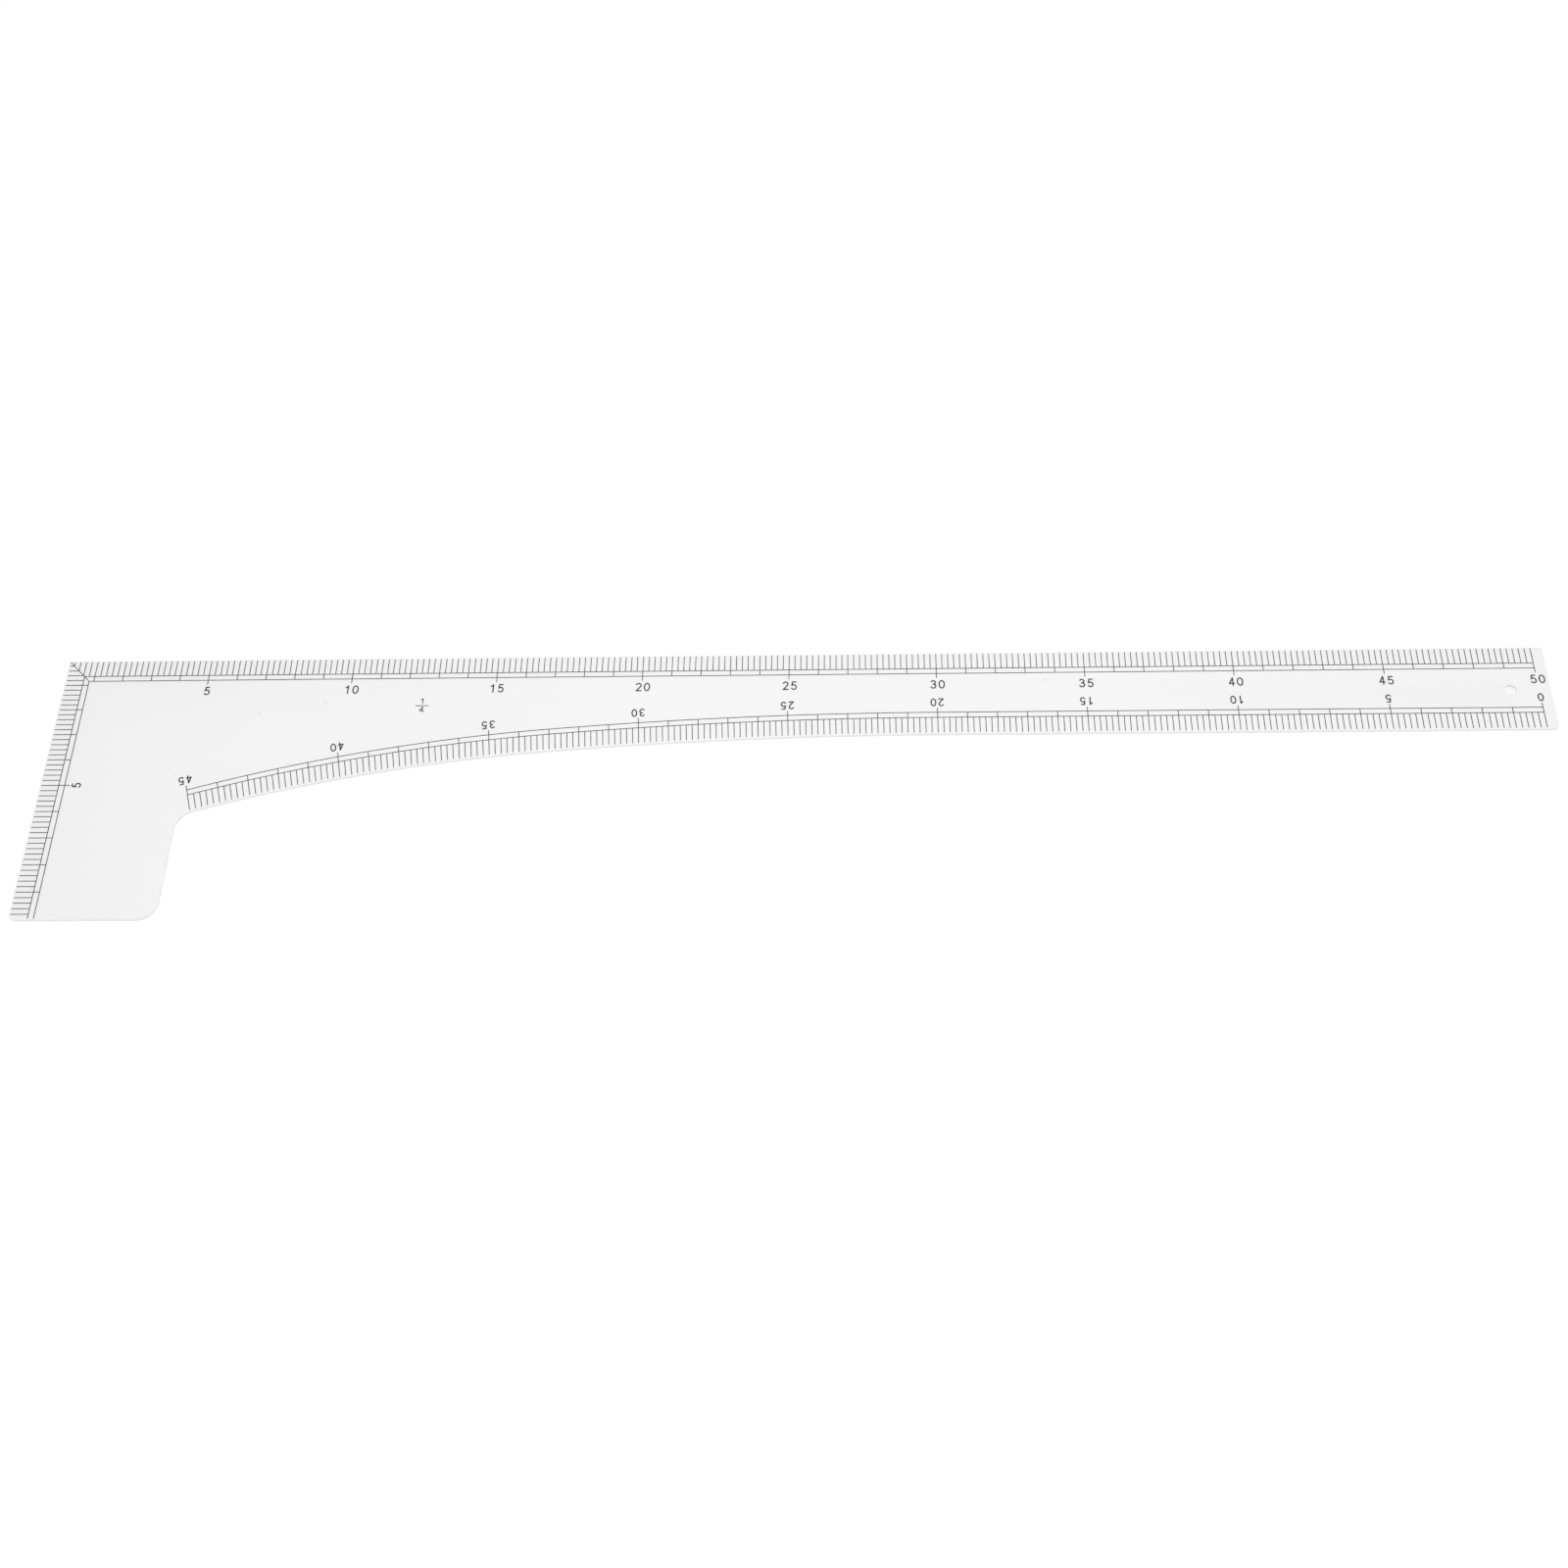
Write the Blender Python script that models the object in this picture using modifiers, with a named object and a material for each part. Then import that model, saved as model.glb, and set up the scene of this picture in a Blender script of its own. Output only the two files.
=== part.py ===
# Quarter-scale L-shaped sewing ruler with a curved inner edge.
#
# One thin sheet of frosted plastic, cut as an L. Its two outer edges are straight and meet at
# a sharp square corner. Its inner edge starts parallel to the long outer edge, bends away from
# it in two arcs, and ends in a fillet at the short arm. Three scales are printed in black on
# the top face: one along each outer edge, which share a mitre line at the corner, and one
# along the curved inner edge. Each centimetre of the scales is a real 2.5 mm.
#
# Lengths are in metres. Outlines are drawn from the outer corner of the L, with the long arm
# along +X and the short arm along -Y. The sheet is then centred on the origin, and its
# underside lies at Z = 0.

import math

import bmesh
import bpy
from mathutils import Vector

# Sheet
LONG_EDGE = 0.1260
SHORT_EDGE = 0.0250
LONG_ARM_WIDTH = 0.0081
SHORT_ARM_WIDTH = 0.0120
SHEET_THICKNESS = 0.0003

# Inner edge, measured along the long arm from the outer corner
BEND_START = 0.0745
DEEP_BEND_START = 0.0425
SHALLOW_RADIUS = 0.3810
DEEP_RADIUS = 0.1440
INNER_FILLET = 0.0019

# Corners
FOOT_INNER_RADIUS = 0.0017
FOOT_OUTER_RADIUS = 0.0005
FREE_END_RADIUS = 0.0004

# Small hole near the free end of the long arm
HOLE_DIAMETER = 0.0010
HOLE_FROM_END = 0.0033
HOLE_FROM_EDGE = 0.00425

# Scales
CENTIMETRE = 0.0025
DIVISIONS = 5
NUMBER_STEP = 5
FREE_END_MARGIN = 0.0010
FOOT_MARGIN = 0.0001

# Print, with depths measured square to the edge that a scale follows
PRINT_THICKNESS = 0.00002
LINE_WIDTH = 0.000055
TICK_TIP = 0.00012
OUTER_LINE = 0.00160
INNER_LINE = 0.00210
NUMBERED_MARK_END = 0.00255

# Largest distance between a round edge and the straight pieces that stand for it
CHORD_ERROR = 0.000004

# Keeps whole numbers whole when a length is divided by a step
ROUNDING = 1e-6

# Outlines are filled at this many times their size, because the print's lines are finer than
# the distance at which filling a curve takes two points for one
DRAWING_SCALE = 10000

# Points of neighbouring areas that lie this close are the same point
JOIN_DISTANCE = 1e-7

HALF_LINE = LINE_WIDTH / 2
DIVISION = CENTIMETRE / DIVISIONS

# The mitre line runs at 45 degrees, so along an edge it is this much wider than it is thick
MITRE_OFFSET = HALF_LINE * math.sqrt(2)

# Depths of the four sides of the two lines
LINE_SIDES = (
    OUTER_LINE - HALF_LINE,
    OUTER_LINE + HALF_LINE,
    INNER_LINE - HALF_LINE,
    INNER_LINE + HALF_LINE,
)


def clear_scene():
    for old in list(bpy.data.objects):
        bpy.data.objects.remove(old, do_unlink=True)


def make_material(name, colour, roughness, alpha=1.0):
    material = bpy.data.materials.new(name)
    material.use_nodes = True
    shader = material.node_tree.nodes["Principled BSDF"]
    shader.inputs["Base Color"].default_value = (*colour, 1.0)
    shader.inputs["Roughness"].default_value = roughness
    shader.inputs["Metallic"].default_value = 0.0
    shader.inputs["Alpha"].default_value = alpha
    return material


def filled_area(name, outlines, collection):
    """The area inside the given outlines. An outline that lies inside another is a hole."""
    drawing = bpy.data.curves.new(name, "CURVE")
    drawing.dimensions = "2D"
    drawing.fill_mode = "BOTH"
    for outline in outlines:
        spline = drawing.splines.new("POLY")
        spline.points.add(len(outline) - 1)
        for point, place in zip(spline.points, outline):
            point.co = (DRAWING_SCALE * place[0], DRAWING_SCALE * place[1], 0.0, 1.0)
        spline.use_cyclic_u = True
    drawn = bpy.data.objects.new(name, drawing)
    collection.objects.link(drawn)
    evaluated = drawn.evaluated_get(bpy.context.evaluated_depsgraph_get())
    area = bpy.data.meshes.new_from_object(evaluated)
    bpy.data.objects.remove(drawn, do_unlink=True)
    return area


def layer(name, areas, bottom, thickness, material, collection):
    """A flat layer of even thickness. Each area is a list of outlines, and areas that share
    an edge become one body.
    """
    faces = bmesh.new()
    for outlines in areas:
        faces.from_mesh(filled_area(name + "_area", outlines, collection))
    bmesh.ops.scale(faces, verts=faces.verts, vec=[1 / DRAWING_SCALE] * 3)
    bmesh.ops.remove_doubles(faces, verts=faces.verts, dist=JOIN_DISTANCE)
    inner_edges = [edge for edge in faces.edges if not edge.is_boundary]
    bmesh.ops.beautify_fill(faces, faces=faces.faces, edges=inner_edges, method="AREA")
    mesh = bpy.data.meshes.new(name)
    faces.to_mesh(mesh)
    faces.free()
    mesh.materials.append(material)
    piece = bpy.data.objects.new(name, mesh)
    piece.location = (-LONG_EDGE / 2, SHORT_EDGE / 2, bottom)
    collection.objects.link(piece)
    solid = piece.modifiers.new("thickness", "SOLIDIFY")
    solid.thickness = thickness
    solid.offset = 1.0
    return piece


def arc(centre, radius, start, end):
    """Points along an arc, both ends included. Angles are in radians."""
    widest = 2 * math.acos(1 - CHORD_ERROR / radius)
    steps = max(1, math.ceil(abs(end - start) / widest))
    angles = [start + (end - start) * i / steps for i in range(steps + 1)]
    return [
        (centre[0] + radius * math.cos(angle), centre[1] + radius * math.sin(angle))
        for angle in angles
    ]


# Inner edge. Both bends have their centres below the sheet, and each starts square to the
# line from its centre, so the edge runs on without a kink.

def up_at(angle):
    """Direction from a bend's centre to the edge, turned from +Y towards -X."""
    return Vector((-math.sin(angle), math.cos(angle)))


SHALLOW_CENTRE = Vector((BEND_START, -LONG_ARM_WIDTH - SHALLOW_RADIUS))
SHALLOW_TURN = math.asin((BEND_START - DEEP_BEND_START) / SHALLOW_RADIUS)
DEEP_CENTRE = SHALLOW_CENTRE + (SHALLOW_RADIUS - DEEP_RADIUS) * up_at(SHALLOW_TURN)

# The fillet touches the deep bend from inside and the short arm's inner side
FILLET_X = SHORT_ARM_WIDTH + INNER_FILLET
FILLET_REACH = DEEP_RADIUS - INNER_FILLET
FILLET_RISE = math.sqrt(FILLET_REACH ** 2 - (DEEP_CENTRE.x - FILLET_X) ** 2)
FILLET_CENTRE = Vector((FILLET_X, DEEP_CENTRE.y + FILLET_RISE))
FILLET_TURN = math.asin((DEEP_CENTRE.x - FILLET_X) / FILLET_REACH)

# Scale lengths, in whole centimetres
LONG_MARKS = math.floor((LONG_EDGE - FREE_END_MARGIN) / CENTIMETRE + ROUNDING)
SHORT_ROOM = SHORT_EDGE - FOOT_MARGIN - LINE_WIDTH
SHORT_MARKS = math.floor(SHORT_ROOM / CENTIMETRE)
SHORT_TICKS = math.floor(SHORT_ROOM / DIVISION)

# The curved scale starts level with the last mark of the long one, and ends at its last
# numbered mark before the short arm
CURVE_ZERO = LONG_MARKS * CENTIMETRE
STRAIGHT_RUN = CURVE_ZERO - BEND_START
SHALLOW_RUN = SHALLOW_RADIUS * SHALLOW_TURN
SIDE_TURN = math.asin((DEEP_CENTRE.x - SHORT_ARM_WIDTH) / DEEP_RADIUS)
DEEP_RUN = DEEP_RADIUS * (SIDE_TURN - SHALLOW_TURN)
CURVE_ROOM = STRAIGHT_RUN + SHALLOW_RUN + DEEP_RUN
CURVE_MARKS = NUMBER_STEP * math.floor(CURVE_ROOM / (NUMBER_STEP * CENTIMETRE))


def sheet_outline():
    quarter = math.pi / 2
    end_x = LONG_EDGE - FREE_END_RADIUS
    end_y = FREE_END_RADIUS - LONG_ARM_WIDTH
    foot_y = FOOT_INNER_RADIUS - SHORT_EDGE
    outline = [(0.0, 0.0), (LONG_EDGE, 0.0)]
    outline += arc((end_x, end_y), FREE_END_RADIUS, 0.0, -quarter)
    outline += arc(SHALLOW_CENTRE, SHALLOW_RADIUS, quarter, quarter + SHALLOW_TURN)
    outline += arc(DEEP_CENTRE, DEEP_RADIUS, quarter + SHALLOW_TURN, quarter + FILLET_TURN)[1:]
    outline += arc(FILLET_CENTRE, INNER_FILLET, quarter + FILLET_TURN, math.pi)[1:]
    outline += arc(
        (SHORT_ARM_WIDTH - FOOT_INNER_RADIUS, foot_y), FOOT_INNER_RADIUS, 0.0, -quarter
    )
    outline += arc(
        (FOOT_OUTER_RADIUS, FOOT_OUTER_RADIUS - SHORT_EDGE), FOOT_OUTER_RADIUS, -quarter, -math.pi
    )
    return outline


def hole_outline():
    centre = (LONG_EDGE - HOLE_FROM_END, -HOLE_FROM_EDGE)
    return arc(centre, HOLE_DIAMETER / 2, 0.0, 2 * math.pi)[:-1]


# Each scale draws in its own coordinates: distance along the edge and depth into the sheet.

def on_long_edge(distance, depth):
    return (distance, -depth)


def on_short_edge(distance, depth):
    return (depth, -distance)


def on_inner_edge(distance, depth):
    bend = distance - STRAIGHT_RUN
    if bend <= 0:
        return (CURVE_ZERO - distance, depth - LONG_ARM_WIDTH)
    if bend <= SHALLOW_RUN:
        return SHALLOW_CENTRE + (SHALLOW_RADIUS + depth) * up_at(bend / SHALLOW_RADIUS)
    turn = SHALLOW_TURN + (bend - SHALLOW_RUN) / DEEP_RADIUS
    return DEEP_CENTRE + (DEEP_RADIUS + depth) * up_at(turn)


def tick(place, number, mitred):
    """One tick, from its root at the outer line, or at the mitre line where that comes first."""
    near = number * DIVISION - HALF_LINE
    far = number * DIVISION + HALF_LINE
    near_root = far_root = LINE_SIDES[0]
    if mitred:
        near_root = min(near_root, near - MITRE_OFFSET)
        far_root = min(far_root, far - MITRE_OFFSET)
    return [place(near, near_root), place(near, TICK_TIP), place(far, TICK_TIP), place(far, far_root)]


def mark_sides(mark):
    """Distances along the edge of a centimetre mark's two sides."""
    return mark * CENTIMETRE - HALF_LINE, mark * CENTIMETRE + HALF_LINE


def long_end(place, mark):
    """The part of a numbered mark that runs on past the inner line."""
    near, far = mark_sides(mark)
    if mark % NUMBER_STEP != 0:
        return []
    return [place(near, NUMBERED_MARK_END), place(far, NUMBERED_MARK_END)]


def centimetre(place, mark, end, last_tick):
    """Print from one centimetre mark up to the next: the mark, the two lines and their ticks.

    It is drawn round the clear cell that the mark and the lines leave between them.
    """
    near, far = mark_sides(mark)
    outline = [place(near, depth) for depth in LINE_SIDES]
    outline += long_end(place, mark)
    outline += [place(distance, LINE_SIDES[3]) for distance in (far, end)]
    outline += [place(distance, LINE_SIDES[2]) for distance in (end, far)]
    outline += [place(distance, LINE_SIDES[1]) for distance in (far, end)]
    outline.append(place(end, LINE_SIDES[0]))
    for number in range(last_tick, mark * DIVISIONS, -1):
        outline += reversed(tick(place, number, False))
    return outline + [place(far, LINE_SIDES[0]), place(far, TICK_TIP), place(near, TICK_TIP)]


def last_mark(place, mark):
    """The mark that closes a scale."""
    near, far = mark_sides(mark)
    outline = [place(near, depth) for depth in LINE_SIDES]
    outline += long_end(place, mark) or [place(far, LINE_SIDES[3])]
    return outline + [place(far, TICK_TIP), place(near, TICK_TIP)]


def mitred_centimetre(place):
    """Print up to the first mark of a scale that starts at the mitre line.

    It holds half of the mitre line. The other scale at the corner holds the other half.
    """
    end = CENTIMETRE - HALF_LINE
    slant = HALF_LINE / math.sqrt(2)
    corner = LINE_SIDES[0] + MITRE_OFFSET
    outline = [place(TICK_TIP, TICK_TIP), place(TICK_TIP + slant, TICK_TIP - slant)]
    reached = 0.0
    for number in range(1, DIVISIONS):
        if reached < corner < number * DIVISION - HALF_LINE:
            outline.append(place(corner, LINE_SIDES[0]))
        outline += tick(place, number, True)
        reached = number * DIVISION + HALF_LINE
    outline += [place(end, LINE_SIDES[0]), place(end, LINE_SIDES[1])]
    outline += [place(side + MITRE_OFFSET, side) for side in LINE_SIDES[1:3]]
    outline += [place(end, LINE_SIDES[2]), place(end, LINE_SIDES[3])]
    return outline + [place(LINE_SIDES[3], LINE_SIDES[3])]


def scale_outlines(place, first, last):
    """Print of each centimetre from one mark to another, and the mark that closes the scale."""
    outlines = [
        centimetre(place, mark, (mark + 1) * CENTIMETRE - HALF_LINE, (mark + 1) * DIVISIONS - 1)
        for mark in range(first, last)
    ]
    return outlines + [last_mark(place, last)]


def outer_scales_outlines():
    """The long edge's scale and the short edge's, whose lines run on past its last mark."""
    outlines = [mitred_centimetre(on_long_edge), mitred_centimetre(on_short_edge)]
    outlines += scale_outlines(on_long_edge, 1, LONG_MARKS)
    outlines += scale_outlines(on_short_edge, 1, SHORT_MARKS)[:-1]
    foot = centimetre(on_short_edge, SHORT_MARKS, SHORT_EDGE - FOOT_MARGIN, SHORT_TICKS)
    return outlines + [foot]


def main():
    clear_scene()
    collection = bpy.data.collections.new("sewing_ruler")
    bpy.context.scene.collection.children.link(collection)
    plastic = make_material("frosted_plastic", (0.86, 0.86, 0.86), 0.35, alpha=0.6)
    ink = make_material("black_print", (0.012, 0.012, 0.013), 0.55)
    sheet = [[sheet_outline(), hole_outline()]]
    layer("ruler_sheet", sheet, 0.0, SHEET_THICKNESS, plastic, collection)
    for name, outlines in (
        ("outer_scales_print", outer_scales_outlines()),
        ("curved_scale_print", scale_outlines(on_inner_edge, 0, CURVE_MARKS)),
    ):
        areas = [[outline] for outline in outlines]
        layer(name, areas, SHEET_THICKNESS, PRINT_THICKNESS, ink, collection)


main()
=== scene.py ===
# Looks of the quarter-scale sewing ruler: its frosted sheet, its ink, the numbers along its
# three scales, and the studio it is seen in. Lengths are in metres, in the frame of the model.

import math
from collections import namedtuple

import bmesh
import bpy
from mathutils import Matrix, Vector

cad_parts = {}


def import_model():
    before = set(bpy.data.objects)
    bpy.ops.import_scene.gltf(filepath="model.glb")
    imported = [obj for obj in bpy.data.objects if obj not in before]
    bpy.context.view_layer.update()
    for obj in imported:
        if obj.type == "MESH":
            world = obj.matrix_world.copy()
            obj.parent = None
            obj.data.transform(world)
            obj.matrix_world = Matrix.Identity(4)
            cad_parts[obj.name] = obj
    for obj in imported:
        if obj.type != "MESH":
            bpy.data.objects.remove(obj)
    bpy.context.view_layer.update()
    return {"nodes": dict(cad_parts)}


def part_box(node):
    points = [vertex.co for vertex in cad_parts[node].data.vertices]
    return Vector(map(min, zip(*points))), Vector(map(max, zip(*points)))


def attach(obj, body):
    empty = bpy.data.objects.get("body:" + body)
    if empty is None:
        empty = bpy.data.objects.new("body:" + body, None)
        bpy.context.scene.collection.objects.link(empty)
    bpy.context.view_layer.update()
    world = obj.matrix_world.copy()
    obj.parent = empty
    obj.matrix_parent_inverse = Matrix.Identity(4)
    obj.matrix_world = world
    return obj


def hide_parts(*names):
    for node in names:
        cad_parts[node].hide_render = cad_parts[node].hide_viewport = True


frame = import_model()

SHEET = "ruler_sheet"
PRINTS = ("outer_scales_print", "curved_scale_print")
SHEET_LOW, SHEET_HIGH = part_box(SHEET)
TOP = SHEET_HIGH.z
CORNER = Vector((SHEET_LOW.x, SHEET_HIGH.y))
INK_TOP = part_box(PRINTS[0])[1].z
INK_THICKNESS = INK_TOP - TOP

# Noises in the materials, each with its lumps per metre and its detail
CLOUD = (55.0, 3.0)
RIPPLE = (260.0, 2.0)
GRAIN = (9000.0, 2.0)
DUST = (1800.0, 0.0)
INK_COVER = (1500.0, 3.0)
INK_GRAIN = (12000.0, 2.0)
NOISE_ROUGHNESS = 0.55

# Middle stretch of a noise's values, where most of them lie
NOISE_LOW = 0.3
NOISE_HIGH = 0.7

# Bumps, each with its strength and its height
RIPPLE_BUMP = (0.10, 0.00005)
GRAIN_BUMP = (0.12, 0.000004)
INK_BUMP = (0.25, 0.000003)

# Plastic
PLASTIC_DULL = (0.950, 0.951, 0.952)
PLASTIC_PALE = (0.968, 0.969, 0.970)
PLASTIC_ROUGHNESS = (0.34, 0.50)
PLASTIC_IOR = 1.49
PLASTIC_TRANSMISSION = 0.04
PLASTIC_SPECULAR = 0.4

# Specks in the plastic, which fade in where the dust noise runs through this range
SPECK_COLOUR = (0.80, 0.80, 0.79, 1.0)
SPECK_RANGE = (0.86, 0.92)

# Ink
INK_BLACK = (0.010, 0.010, 0.011)
INK_THIN = (0.050, 0.050, 0.052)
INK_ROUGHNESS = (0.45, 0.65)
INK_SPECULAR = 0.3

# Cut edges of the sheet
EDGE_ROUNDING = 0.00003
EDGE_SEGMENTS = 2
EDGE_PROFILE = 0.5
SHARP_ANGLE = math.radians(40)

# Points this close are the same point, and faces that turn by less than this are one face
SAME_POINT = 1e-7
FLAT_ANGLE = math.radians(0.5)

# A face whose normal rises this far is one of the two flat faces, which stay flat shaded
LEVEL = 0.999

# Scales
CENTIMETRE = 0.0025
NUMBER_STEP = 5
LONG_MARKS = 50
SHORT_MARKS = 9
CURVE_MARKS = 45

# Inner edge, measured along the long arm from the outer corner
LONG_ARM_WIDTH = 0.0081
BEND_START = 0.0745
DEEP_BEND_START = 0.0425
SHALLOW_RADIUS = 0.3810
DEEP_RADIUS = 0.1440

# Numbers, with the depth of their tops measured square to the edge that a scale follows. Those
# of the long scale are the largest, and stand a little past the middle of their marks.
NumberSize = namedtuple("NumberSize", "top_depth height width gap")
LONG_NUMBERS = NumberSize(0.00278, 0.00084, 0.00053, 0.00017)
OTHER_NUMBERS = NumberSize(0.00270, 0.00078, 0.00049, 0.00016)
DIGIT_STROKE = 0.00010
NUMBER_SHIFT = 0.000075

# Fraction sign, placed from the outer corner
FRACTION_PLACE = (0.03133, -0.00490)
FRACTION_BAR = 0.00110
FRACTION_LINE = 0.00006
FRACTION_HEIGHT = 0.00054
FRACTION_WIDTH = 0.00043
FRACTION_STROKE = 0.000065
NUMERATOR_FOOT = 0.00021
DENOMINATOR_FOOT = -0.00065

# Steps in a full turn of a digit's bows
BOW_STEPS = 48

# Head and foot of a digit's upright, which runs past its box by about half a stroke
UPRIGHT_HEAD = 1.07
UPRIGHT_FOOT = -0.07

# A stroke is a ring when its ends are nearer than this share of its thickness
RING_GAP = 0.01

# Smallest cosine used for a stroke's mitre, so that a sharp corner stays short
MITRE_LIMIT = 0.45

# Digits are drawn at this many times their size, because filling a curve takes points that lie
# close together for one. At that size, points this close are the same point.
DRAWING_SCALE = 10000
WELD_DISTANCE = 1e-4

# Camera
IMAGE_SIZE = 1600
FOCAL_PIXELS = 1955.3
SENSOR = 36.0
CAMERA_AIM = Vector((-0.000785, -0.000358, 0.0003))
CAMERA_DISTANCE = 0.15754
CAMERA_AZIMUTH = math.radians(4.296)
CAMERA_ELEVATION = math.radians(59.487)
CAMERA_ROLL = math.radians(-4.111)

# Floor. It lights the ruler as a pale grey. Where it is seen it shines by the lift and reflects
# the shadow share, so that it is white and still takes a shadow.
FLOOR_SIZE = 6.0
FLOOR_DROP = 0.00002
FLOOR_GREY = 0.90
FLOOR_LIFT = 0.66
SHADOW_SHARE = 0.45

# Patch of painted shade on the floor where it shows through the sheet's hole: the floor shines
# less there and looks off-white. It is placed from the outer corner and fades out from the hole's
# radius to the patch's.
HOLE_PLACE = (0.1227, -0.00425)
HOLE_RADIUS = 0.0005
HOLE_SHADE_RADIUS = 0.0007
HOLE_SHADE_LIFT = 0.53

# Light
WORLD_STRENGTH = 0.80
LAMP_SIZE = 0.12
LAMP_PLACE = Vector((0.012, -0.010, 0.160))
LAMP_POWER = 0.060

# Nearest and farthest distance that the camera sees
CLIP_START = CAMERA_DISTANCE / 100
CLIP_END = FLOOR_SIZE * 2


# Materials

def new_material(name):
    material = bpy.data.materials.new(name)
    material.use_nodes = True
    material.node_tree.nodes.clear()
    return material, material.node_tree.nodes, material.node_tree.links


def noise(nodes, links, place, scale, detail):
    """A noise texture in the object's own coordinates, with its scale in lumps per metre."""
    node = nodes.new("ShaderNodeTexNoise")
    node.inputs["Scale"].default_value = scale
    node.inputs["Detail"].default_value = detail
    node.inputs["Roughness"].default_value = NOISE_ROUGHNESS
    links.new(place.outputs["Object"], node.inputs["Vector"])
    return node.outputs["Fac"]


def spread(nodes, links, value, low, high, from_low=NOISE_LOW, from_high=NOISE_HIGH):
    """A stretch of the value, widened or narrowed to run from low to high."""
    node = nodes.new("ShaderNodeMapRange")
    node.inputs["From Min"].default_value = from_low
    node.inputs["From Max"].default_value = from_high
    node.inputs["To Min"].default_value = low
    node.inputs["To Max"].default_value = high
    links.new(value, node.inputs["Value"])
    return node.outputs["Result"]


def blended(nodes, links, amount, first, second):
    """The first colour turned into the second by the amount."""
    node = nodes.new("ShaderNodeMix")
    node.data_type = "RGBA"
    node.inputs["A"].default_value = (*first, 1.0)
    node.inputs["B"].default_value = (*second, 1.0)
    links.new(amount, node.inputs["Factor"])
    return node.outputs["Result"]


def bumped(nodes, links, height, strength, distance, under=None):
    """A bumped normal, on top of the one under it if there is one."""
    node = nodes.new("ShaderNodeBump")
    node.inputs["Strength"].default_value = strength
    node.inputs["Distance"].default_value = distance
    links.new(height, node.inputs["Height"])
    if under is not None:
        links.new(under, node.inputs["Normal"])
    return node.outputs["Normal"]


def frosted_plastic():
    """Thin translucent sheet: matt grain, a faint cloudiness and a few specks."""
    material, nodes, links = new_material("frosted_plastic")
    place = nodes.new("ShaderNodeTexCoord")
    shader = nodes.new("ShaderNodeBsdfPrincipled")
    output = nodes.new("ShaderNodeOutputMaterial")
    cloud = noise(nodes, links, place, *CLOUD)
    grain = noise(nodes, links, place, *GRAIN)
    ripple = noise(nodes, links, place, *RIPPLE)
    dust = noise(nodes, links, place, *DUST)
    cloudiness = spread(nodes, links, cloud, 0.0, 1.0)
    colour = blended(nodes, links, cloudiness, PLASTIC_DULL, PLASTIC_PALE)
    specked = nodes.new("ShaderNodeMix")
    specked.data_type = "RGBA"
    specked.inputs["B"].default_value = SPECK_COLOUR
    links.new(spread(nodes, links, dust, 0.0, 1.0, *SPECK_RANGE), specked.inputs["Factor"])
    links.new(colour, specked.inputs["A"])
    links.new(specked.outputs["Result"], shader.inputs["Base Color"])
    links.new(spread(nodes, links, grain, *PLASTIC_ROUGHNESS), shader.inputs["Roughness"])
    soft = bumped(nodes, links, ripple, *RIPPLE_BUMP)
    links.new(bumped(nodes, links, grain, *GRAIN_BUMP, soft), shader.inputs["Normal"])
    shader.inputs["IOR"].default_value = PLASTIC_IOR
    shader.inputs["Transmission Weight"].default_value = PLASTIC_TRANSMISSION
    shader.inputs["Specular IOR Level"].default_value = PLASTIC_SPECULAR
    links.new(shader.outputs["BSDF"], output.inputs["Surface"])
    return material


def black_print():
    """Screen-printed ink: black, a little thin in places, and dull."""
    material, nodes, links = new_material("black_print")
    place = nodes.new("ShaderNodeTexCoord")
    shader = nodes.new("ShaderNodeBsdfPrincipled")
    output = nodes.new("ShaderNodeOutputMaterial")
    cover = noise(nodes, links, place, *INK_COVER)
    grain = noise(nodes, links, place, *INK_GRAIN)
    thinness = spread(nodes, links, cover, 0.0, 1.0)
    links.new(blended(nodes, links, thinness, INK_BLACK, INK_THIN), shader.inputs["Base Color"])
    links.new(spread(nodes, links, grain, *INK_ROUGHNESS), shader.inputs["Roughness"])
    links.new(bumped(nodes, links, grain, *INK_BUMP), shader.inputs["Normal"])
    shader.inputs["Specular IOR Level"].default_value = INK_SPECULAR
    links.new(shader.outputs["BSDF"], output.inputs["Surface"])
    return material


# Sheet

def sheet_piece(material):
    """The cut blank with its edges just broken."""
    piece = bpy.data.objects.new("frosted_sheet", frame["nodes"][SHEET].data.copy())
    bpy.context.scene.collection.objects.link(piece)
    blank = bmesh.new()
    blank.from_mesh(piece.data)
    bmesh.ops.remove_doubles(blank, verts=blank.verts, dist=SAME_POINT)
    bmesh.ops.dissolve_limit(
        blank, angle_limit=FLAT_ANGLE, verts=blank.verts, edges=blank.edges
    )
    rims = [edge for edge in blank.edges if edge.calc_face_angle(0.0) > SHARP_ANGLE]
    bmesh.ops.bevel(
        blank,
        geom=rims,
        offset=EDGE_ROUNDING,
        segments=EDGE_SEGMENTS,
        profile=EDGE_PROFILE,
        affect="EDGES",
    )
    blank.normal_update()
    for face in blank.faces:
        face.smooth = abs(face.normal.z) < LEVEL
    blank.to_mesh(piece.data)
    blank.free()
    piece.data.materials.clear()
    piece.data.materials.append(material)
    piece.data.set_sharp_from_angle(angle=SHARP_ANGLE)
    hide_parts(SHEET)
    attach(piece, "root")


# Digits

def bow(centre, width, height, start, end):
    """Points on part of an oval. Angles are in degrees."""
    steps = max(2, math.ceil(abs(end - start) / 360 * BOW_STEPS))
    turns = [math.radians(start + (end - start) * i / steps) for i in range(steps + 1)]
    return [
        (centre[0] + width / 2 * math.cos(turn), centre[1] + height / 2 * math.sin(turn))
        for turn in turns
    ]


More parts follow.
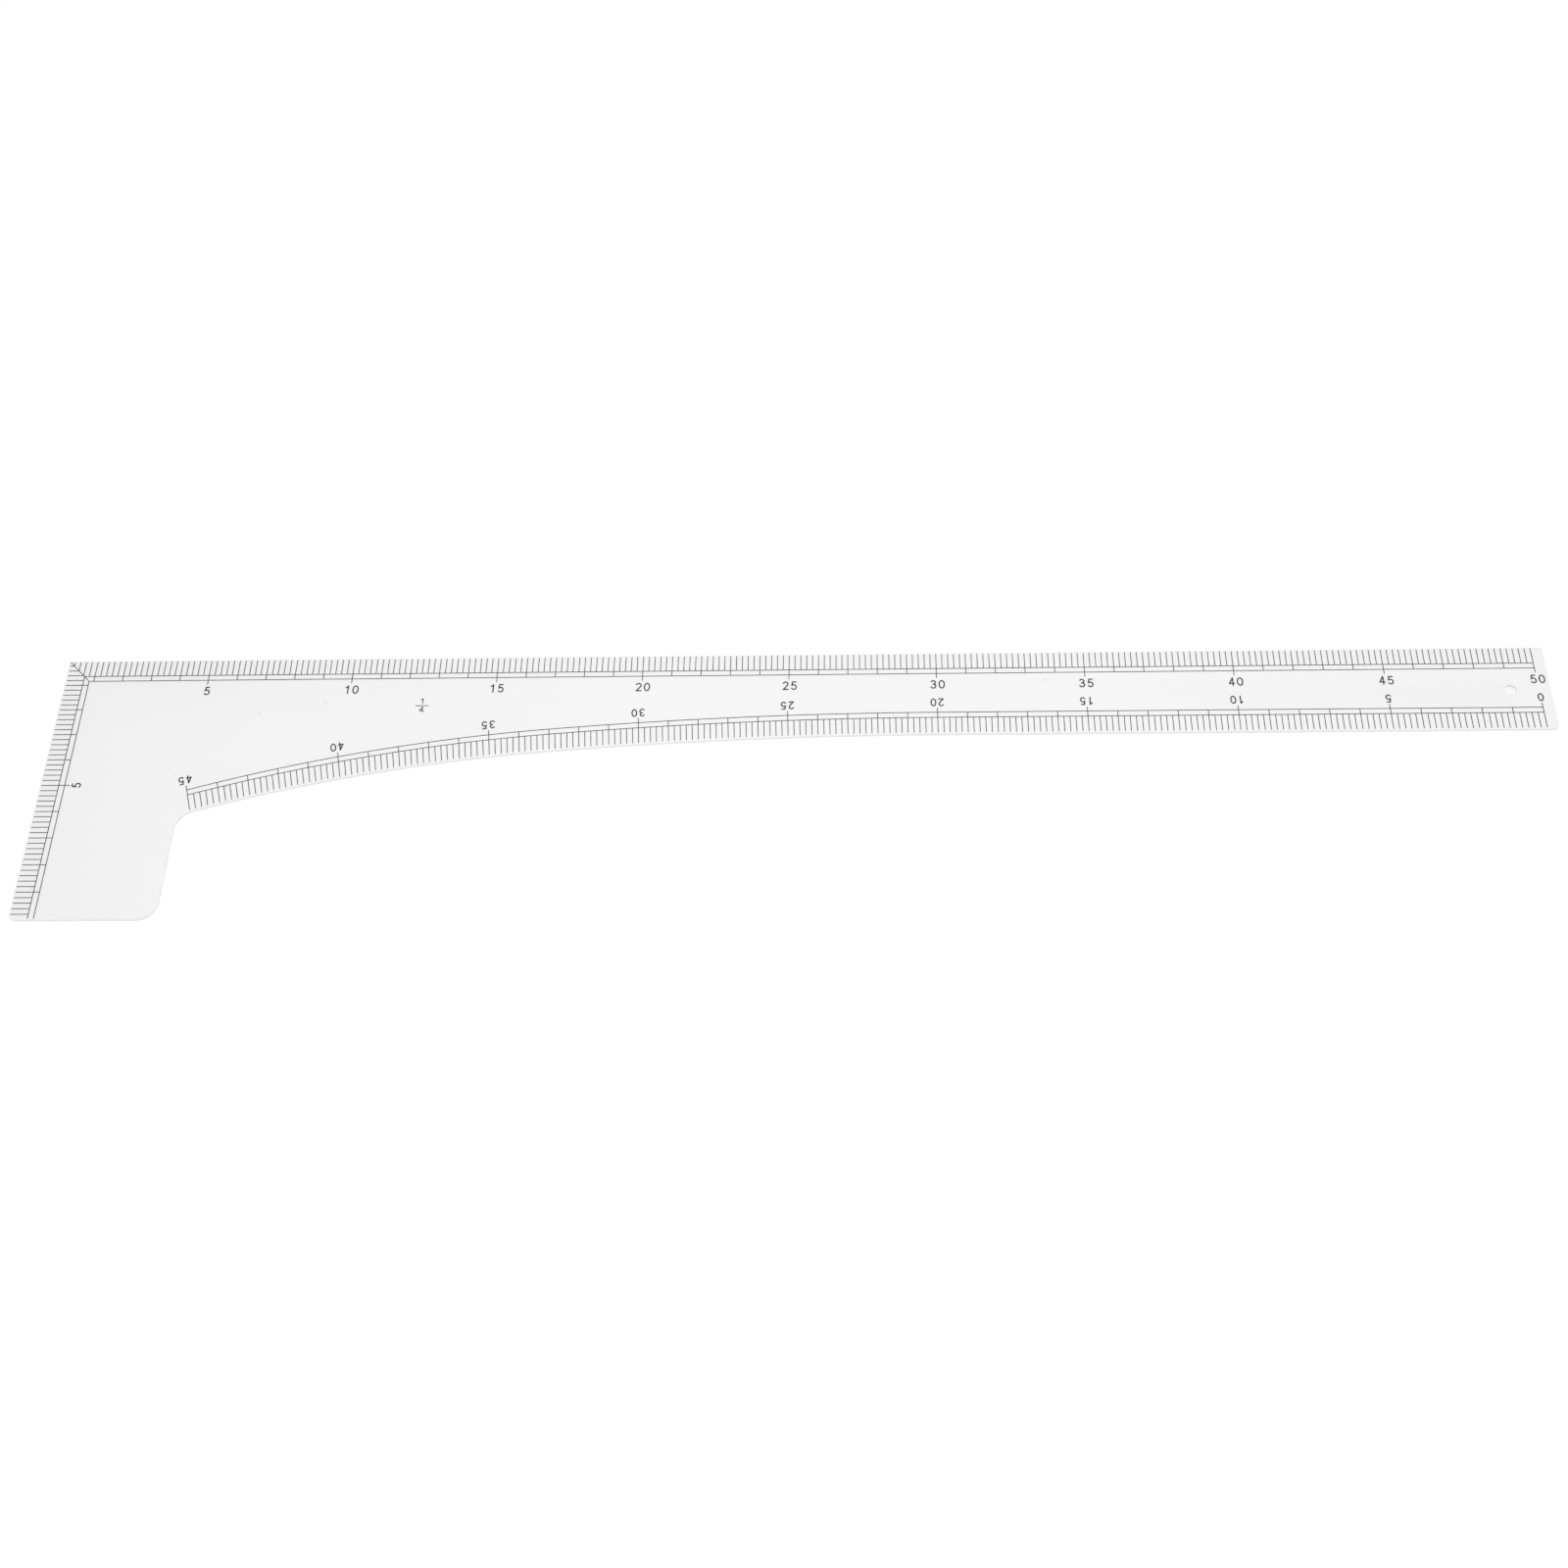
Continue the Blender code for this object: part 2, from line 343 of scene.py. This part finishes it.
# Each digit is a set of strokes in a box one wide and one high, drawn by their middle lines and
# fitted to the digit's size afterwards
DIGIT_STROKES = {
    "0": [bow((0.5, 0.5), 1.0, 1.0, 0, 360)],
    "1": [
        [(0.62, UPRIGHT_HEAD), (0.62, UPRIGHT_FOOT)],
        [(0.10, 0.77), (0.36, 0.80), (0.57, 0.97)],
    ],
    "2": [
        bow((0.49, 0.72), 0.92, 0.56, 168, -36) + [(0.08, 0.0)],
        [(-0.08, 0.0), (1.08, 0.0)],
    ],
    "3": [
        bow((0.47, 0.76), 0.82, 0.48, 165, -90),
        bow((0.47, 0.26), 0.98, 0.52, 90, -165),
        [(0.32, 0.52), (0.50, 0.52)],
    ],
    "4": [
        [(0.70, 1.0), (0.06, 0.27), (1.10, 0.27)],
        [(0.72, UPRIGHT_HEAD), (0.72, UPRIGHT_FOOT)],
    ],
    "5": [
        [(0.98, 1.0), (0.24, 1.0), (0.11, 0.47)],
        bow((0.48, 0.31), 0.98, 0.62, 146, -158),
    ],
}


def side_points(points, shift):
    """The stroke's middle line moved sideways, with mitred corners."""
    moved = []
    for i, point in enumerate(points):
        before = (point - points[i - 1]).normalized() if i > 0 else None
        after = (points[i + 1] - point).normalized() if i < len(points) - 1 else None
        before = before or after
        after = after or before
        normal = Vector((-(before.y + after.y), before.x + after.x)).normalized()
        square = Vector((-before.y, before.x))
        moved.append(point + normal * shift / max(normal.dot(square), MITRE_LIMIT))
    return moved


def stroke_outlines(points, thickness):
    """Outlines of one stroke: a ring's two, or one round an open stroke."""
    half = thickness / 2
    if (points[0] - points[-1]).length < thickness * RING_GAP:
        around = points[:-1]
        wrapped = [around[-1], *around, around[0]]
        return [side_points(wrapped, shift)[1:-1] for shift in (half, -half)]
    return [side_points(points, half) + side_points(points, -half)[::-1]]


def solid_outlines(name, outlines, bottom, thickness):
    """A flat solid between outlines, made from a filled curve that is drawn enlarged."""
    drawing = bpy.data.curves.new(name, "CURVE")
    drawing.dimensions = "2D"
    drawing.fill_mode = "BOTH"
    drawing.extrude = thickness / 2 * DRAWING_SCALE
    for outline in outlines:
        spline = drawing.splines.new("POLY")
        spline.points.add(len(outline) - 1)
        for point, place in zip(spline.points, outline):
            point.co = (place.x * DRAWING_SCALE, place.y * DRAWING_SCALE, 0.0, 1.0)
        spline.use_cyclic_u = True
    drawn = bpy.data.objects.new(name, drawing)
    bpy.context.scene.collection.objects.link(drawn)
    evaluated = drawn.evaluated_get(bpy.context.evaluated_depsgraph_get())
    mesh = bpy.data.meshes.new_from_object(evaluated)
    bpy.data.objects.remove(drawn, do_unlink=True)
    welded = bmesh.new()
    welded.from_mesh(mesh)
    bmesh.ops.remove_doubles(welded, verts=welded.verts, dist=WELD_DISTANCE)
    bmesh.ops.scale(welded, verts=welded.verts, vec=[1 / DRAWING_SCALE] * 3)
    bmesh.ops.translate(welded, verts=welded.verts, vec=(0, 0, bottom + thickness / 2))
    bmesh.ops.recalc_face_normals(welded, faces=welded.faces)
    welded.to_mesh(mesh)
    welded.free()
    return mesh


def joined(meshes, name):
    """One mesh from several solids that run into each other."""
    pieces = [bpy.data.objects.new(f"{name}_{i}", mesh) for i, mesh in enumerate(meshes)]
    for piece in pieces:
        piece.scale = [DRAWING_SCALE] * 3
        bpy.context.scene.collection.objects.link(piece)
    for other in pieces[1:]:
        union = pieces[0].modifiers.new("union", "BOOLEAN")
        union.operation = "UNION"
        union.object = other
    evaluated = pieces[0].evaluated_get(bpy.context.evaluated_depsgraph_get())
    mesh = bpy.data.meshes.new_from_object(evaluated)
    for piece in pieces:
        bpy.data.objects.remove(piece, do_unlink=True)
    return mesh


def digit_mesh(digit, width, height, thickness):
    """A digit that stands on the origin and runs to the right, as thick as the ink."""
    inner_width = width - thickness
    inner_height = height - thickness
    solids = []
    for i, stroke in enumerate(DIGIT_STROKES[digit]):
        points = [
            Vector((thickness / 2 + x * inner_width, thickness / 2 + y * inner_height))
            for x, y in stroke
        ]
        outlines = stroke_outlines(points, thickness)
        solids.append(solid_outlines(f"digit_{digit}_{i}", outlines, TOP, INK_THICKNESS))
    return joined(solids, f"digit_{digit}") if len(solids) > 1 else solids[0]


def digit_set(size):
    """A mesh of each digit, by its sign."""
    return {
        digit: digit_mesh(digit, size.width, size.height, DIGIT_STROKE) for digit in DIGIT_STROKES
    }


def add_moved(whole, mesh, shift):
    """Adds a mesh to the whole, moved by the shift."""
    start = len(whole.verts)
    whole.from_mesh(mesh)
    whole.verts.ensure_lookup_table()
    bmesh.ops.translate(whole, verts=whole.verts[start:], vec=shift)


def printed_piece(name, whole, material):
    """A piece of the print from its finished shape."""
    mesh = bpy.data.meshes.new(name)
    whole.to_mesh(mesh)
    whole.free()
    mesh.materials.append(material)
    piece = bpy.data.objects.new(name, mesh)
    bpy.context.scene.collection.objects.link(piece)
    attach(piece, "root")


def number_piece(name, text, place, up, material, digits, size):
    """Digits side by side, centred on a place. up is the way their tops point."""
    width = len(text) * size.width + (len(text) - 1) * size.gap
    whole = bmesh.new()
    for i, digit in enumerate(text):
        shift = Vector((i * (size.width + size.gap) - width / 2, 0, 0))
        add_moved(whole, digits[digit], shift)
    right = Vector((up.y, -up.x))
    turned = Matrix((
        (right.x, up.x, 0, place.x),
        (right.y, up.y, 0, place.y),
        (0, 0, 1, 0),
        (0, 0, 0, 1),
    ))
    bmesh.ops.transform(whole, matrix=turned, verts=whole.verts)
    printed_piece(name, whole, material)


# Places along the scales

def up_at(angle):
    """Direction from a bend's centre to the inner edge, turned from +Y towards -X."""
    return Vector((-math.sin(angle), math.cos(angle)))


SHALLOW_CENTRE = Vector((BEND_START, -LONG_ARM_WIDTH - SHALLOW_RADIUS))
SHALLOW_TURN = math.asin((BEND_START - DEEP_BEND_START) / SHALLOW_RADIUS)
DEEP_CENTRE = SHALLOW_CENTRE + (SHALLOW_RADIUS - DEEP_RADIUS) * up_at(SHALLOW_TURN)
CURVE_ZERO = LONG_MARKS * CENTIMETRE
STRAIGHT_RUN = CURVE_ZERO - BEND_START
SHALLOW_RUN = SHALLOW_RADIUS * SHALLOW_TURN


def on_inner_edge(distance, depth):
    """A place on the curved scale and the direction from there towards the curved edge."""
    bend = distance - STRAIGHT_RUN
    if bend <= 0:
        return Vector((CURVE_ZERO - distance, depth - LONG_ARM_WIDTH)), Vector((0.0, -1.0))
    if bend <= SHALLOW_RUN:
        inward = up_at(bend / SHALLOW_RADIUS)
        return SHALLOW_CENTRE + (SHALLOW_RADIUS + depth) * inward, -inward
    inward = up_at(SHALLOW_TURN + (bend - SHALLOW_RUN) / DEEP_RADIUS)
    return DEEP_CENTRE + (DEEP_RADIUS + depth) * inward, -inward


def numbers(material):
    """The numbers of the long, the short and the curved scale."""
    size = LONG_NUMBERS
    digits = digit_set(size)
    depth = size.top_depth + size.height
    for mark in range(NUMBER_STEP, LONG_MARKS + 1, NUMBER_STEP):
        place = CORNER + Vector((mark * CENTIMETRE + NUMBER_SHIFT, -depth))
        up = Vector((0.0, 1.0))
        number_piece(f"long_scale_{mark}", str(mark), place, up, material, digits, size)
    size = OTHER_NUMBERS
    digits = digit_set(size)
    depth = size.top_depth + size.height
    for mark in range(NUMBER_STEP, SHORT_MARKS + 1, NUMBER_STEP):
        place = CORNER + Vector((depth, -mark * CENTIMETRE))
        up = Vector((-1.0, 0.0))
        number_piece(f"short_scale_{mark}", str(mark), place, up, material, digits, size)
    for mark in range(0, CURVE_MARKS + 1, NUMBER_STEP):
        place, up = on_inner_edge(mark * CENTIMETRE, depth)
        number_piece(f"curved_scale_{mark}", str(mark), CORNER + place, up, material, digits, size)


def fraction(material):
    """The sign 1/4 with a level bar."""
    centre = CORNER + Vector(FRACTION_PLACE)
    half_bar = Vector((FRACTION_BAR / 2, 0.0))
    bar = stroke_outlines([centre - half_bar, centre + half_bar], FRACTION_LINE)
    whole = bmesh.new()
    whole.from_mesh(solid_outlines("fraction_bar", bar, TOP, INK_THICKNESS))
    for digit, foot in (("1", NUMERATOR_FOOT), ("4", DENOMINATOR_FOOT)):
        mesh = digit_mesh(digit, FRACTION_WIDTH, FRACTION_HEIGHT, FRACTION_STROKE)
        place = Vector((centre.x - FRACTION_WIDTH / 2, centre.y + foot, 0.0))
        add_moved(whole, mesh, place)
    printed_piece("quarter_sign", whole, material)


# Studio

def white_where_seen(nodes, links):
    """One for rays from the camera and for mirrored and refracted ones, zero for the rest."""
    rays = nodes.new("ShaderNodeLightPath")
    total = rays.outputs["Is Camera Ray"]
    for kind in ("Is Glossy Ray", "Is Transmission Ray"):
        either = nodes.new("ShaderNodeMath")
        either.operation = "MAXIMUM"
        links.new(total, either.inputs[0])
        links.new(rays.outputs[kind], either.inputs[1])
        total = either.outputs["Value"]
    return total


def floor_shine(nodes, links, seen):
    """How much the floor shines of itself: where it is seen, and less at the hole's patch, where
    shade is painted in.
    """
    place = nodes.new("ShaderNodeTexCoord")
    away = nodes.new("ShaderNodeVectorMath")
    away.operation = "DISTANCE"
    away.inputs[1].default_value = (*(CORNER + Vector(HOLE_PLACE)), 0.0)
    links.new(place.outputs["Object"], away.inputs[0])
    # Painted shade: inside the sheet's hole the floor's lift drops to the lower value, fading back
    # out to the patch's radius.
    lift = spread(
        nodes, links, away.outputs["Value"], HOLE_SHADE_LIFT, FLOOR_LIFT, HOLE_RADIUS, HOLE_SHADE_RADIUS
    )
    strength = nodes.new("ShaderNodeMath")
    strength.operation = "MULTIPLY"
    links.new(seen, strength.inputs[0])
    links.new(lift, strength.inputs[1])
    return strength.outputs["Value"]


def floor():
    """Pale floor. Where it is seen it is white and keeps a light shadow."""
    material, nodes, links = new_material("studio_floor")
    seen = white_where_seen(nodes, links)
    colour = blended(nodes, links, seen, (FLOOR_GREY,) * 3, (SHADOW_SHARE,) * 3)
    matt = nodes.new("ShaderNodeBsdfDiffuse")
    links.new(colour, matt.inputs["Color"])
    shine = nodes.new("ShaderNodeEmission")
    links.new(floor_shine(nodes, links, seen), shine.inputs["Strength"])
    both = nodes.new("ShaderNodeAddShader")
    links.new(matt.outputs["BSDF"], both.inputs[0])
    links.new(shine.outputs["Emission"], both.inputs[1])
    output = nodes.new("ShaderNodeOutputMaterial")
    links.new(both.outputs["Shader"], output.inputs["Surface"])
    bpy.ops.mesh.primitive_plane_add(size=FLOOR_SIZE, location=(0, 0, -FLOOR_DROP))
    plane = bpy.context.object
    plane.name = "studio_floor"
    plane.data.materials.append(material)


def world():
    """Plain world that gives even light and is white where it is seen."""
    studio = bpy.data.worlds.new("studio")
    studio.use_nodes = True
    nodes, links = studio.node_tree.nodes, studio.node_tree.links
    nodes.clear()
    seen = white_where_seen(nodes, links)
    strength = spread(nodes, links, seen, WORLD_STRENGTH, 1.0, 0.0, 1.0)
    background = nodes.new("ShaderNodeBackground")
    background.inputs["Color"].default_value = (1.0, 1.0, 1.0, 1.0)
    links.new(strength, background.inputs["Strength"])
    output = nodes.new("ShaderNodeOutputWorld")
    links.new(background.outputs["Background"], output.inputs["Surface"])
    bpy.context.scene.world = studio


def lamp():
    """Soft lamp above the ruler."""
    light = bpy.data.lights.new("soft_box", "AREA")
    light.size = LAMP_SIZE
    light.energy = LAMP_POWER
    soft_box = bpy.data.objects.new("soft_box", light)
    soft_box.location = LAMP_PLACE
    soft_box.rotation_mode = "QUATERNION"
    soft_box.rotation_quaternion = (-LAMP_PLACE).to_track_quat("-Z", "Y")
    bpy.context.scene.collection.objects.link(soft_box)


def camera():
    """The photo's camera, as fitted to the ruler's marks."""
    back = Vector((
        math.sin(CAMERA_AZIMUTH) * math.cos(CAMERA_ELEVATION),
        -math.cos(CAMERA_AZIMUTH) * math.cos(CAMERA_ELEVATION),
        math.sin(CAMERA_ELEVATION),
    ))
    lens = bpy.data.cameras.new("camera")
    lens.sensor_width = SENSOR
    lens.lens = FOCAL_PIXELS / IMAGE_SIZE * SENSOR
    lens.clip_start = CLIP_START
    lens.clip_end = CLIP_END
    viewer = bpy.data.objects.new("camera", lens)
    level = (-back).to_track_quat("-Z", "Y").to_matrix().to_4x4()
    viewer.matrix_world = (
        Matrix.Translation(CAMERA_AIM + CAMERA_DISTANCE * back)
        @ level
        @ Matrix.Rotation(CAMERA_ROLL, 4, "Z")
    )
    bpy.context.scene.collection.objects.link(viewer)
    bpy.context.scene.camera = viewer


def main():
    plastic = frosted_plastic()
    ink = black_print()
    sheet_piece(plastic)
    for name in PRINTS:
        frame["nodes"][name].data.materials.clear()
        frame["nodes"][name].data.materials.append(ink)
    numbers(ink)
    fraction(ink)
    floor()
    world()
    lamp()
    camera()
    bpy.context.scene.view_settings.view_transform = "Standard"


main()
